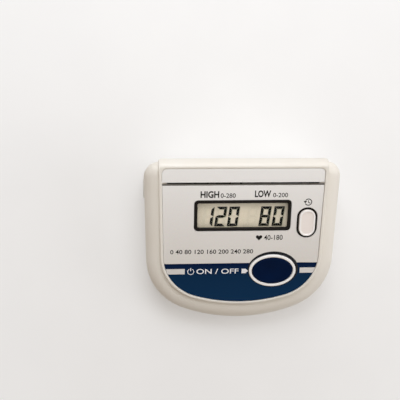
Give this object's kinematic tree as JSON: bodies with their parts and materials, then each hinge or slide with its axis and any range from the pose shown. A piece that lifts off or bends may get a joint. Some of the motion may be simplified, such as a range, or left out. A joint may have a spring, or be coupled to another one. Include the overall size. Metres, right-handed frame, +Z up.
{
  "type": "digital blood pressure monitor",
  "caption": "Desk unit with a sloping face: display window, oval start key, upright memory key, pump and valves inside, battery bay with a sliding cover.",
  "frame": {"origin": "on the table, under the middle of the case's box", "axes": "+X to the user's right, +Y to the back, +Z up"},
  "size_m": [0.1332, 0.112, 0.0589],
  "materials": {
    "ivory_abs": "fine moulded texture",
    "silver_panel": "silver-grey paint film, satin",
    "navy_panel": "smooth print under a clear film",
    "navy_key": "smooth moulded",
    "ivory_key": "smooth moulded",
    "black_abs": "smooth moulded",
    "clear_pane": "clear",
    "lcd": "reflective liquid crystal, olive-beige",
    "white_abs": "moulded",
    "grey_abs": "moulded",
    "black_rubber": "matt",
    "circuit_board": "green solder mask",
    "zinc_steel": "zinc plated",
    "nickel_steel": "nickel plated",
    "cell_sleeve": "plain sleeve on a metal can"
  },
  "bodies": {
    "root": {"upper_case": "ivory_abs", "lower_case": "ivory_abs", "foot_1": "black_rubber", "foot_2": "black_rubber", "foot_3": "black_rubber", "foot_4": "black_rubber", "case_screw_1": "zinc_steel", "case_screw_2": "zinc_steel", "case_screw_3": "zinc_steel", "case_screw_4": "zinc_steel", "face_panel": "silver_panel", "control_panel": "navy_panel", "display_bezel": "black_abs", "display_window": "clear_pane", "lcd_glass": "lcd", "lcd_holder": "white_abs", "zebra_strip_upper": "black_rubber", "zebra_strip_lower": "black_rubber", "start_button_ring": "ivory_abs", "memory_button_surround": "black_abs", "start_switch": "black_abs", "memory_switch": "black_abs", "main_board": "circuit_board", "board_screw_1": "zinc_steel", "board_screw_2": "zinc_steel", "board_screw_3": "zinc_steel", "control_chip": "black_abs", "buzzer": "black_abs", "capacitor": "grey_abs", "pressure_sensor": "white_abs", "pump_motor": "zinc_steel", "pump_head": "white_abs", "pump_diaphragm": "black_rubber", "pump_head_cover": "white_abs", "pump_mount_left": "black_rubber", "pump_mount_right": "black_rubber", "air_manifold": "grey_abs", "valve_body": "zinc_steel", "bleed_valve": "black_rubber", "pump_tube": "black_rubber", "socket_tube": "black_rubber", "sensor_tube": "black_rubber", "air_socket": "grey_abs", "dc_jack": "black_abs", "cell_1": "cell_sleeve", "cell_2": "cell_sleeve", "cell_3": "cell_sleeve", "cell_4": "cell_sleeve", "contact_front_left": "nickel_steel", "contact_front_right": "nickel_steel", "contact_back_left": "nickel_steel", "contact_back_middle": "nickel_steel", "contact_back_right": "nickel_steel"},
    "start_key": {"start_button": "navy_key", "start_switch_plunger": "grey_abs"},
    "memory_key": {"memory_button": "ivory_key", "memory_switch_plunger": "grey_abs"},
    "cover": {"battery_cover": "ivory_abs"},
    "rotor": {"pump_rotor": "nickel_steel"},
    "exhaust_plunger": {"valve_plunger": "nickel_steel"}
  },
  "joints": [
    {"name": "start_button_press", "type": "slide", "parent": "root", "child": "start_key", "axis": [0, 0.309, -0.9511], "range_m": [0, 0.0008], "stiffness_N_per_m": 1000, "springref_m": -0.0004},
    {"name": "memory_button_press", "type": "slide", "parent": "root", "child": "memory_key", "axis": [0, 0.309, -0.9511], "range_m": [0, 0.0008], "stiffness_N_per_m": 1000, "springref_m": -0.0004},
    {"name": "battery_cover_slide", "type": "slide", "parent": "root", "child": "cover", "axis": [0, -1, 0], "range_m": [0, 0.07]},
    {"name": "pump_rotor_spin", "type": "hinge", "parent": "root", "child": "rotor", "pos_m": [0.02, 0.0397, 0.02], "axis": [1, 0, 0], "continuous": true},
    {"name": "valve_plunger_slide", "type": "slide", "parent": "root", "child": "exhaust_plunger", "axis": [0, 1, 0], "range_m": [0, 0.001], "stiffness_N_per_m": 300, "springref_m": -0.0005}
  ]
}
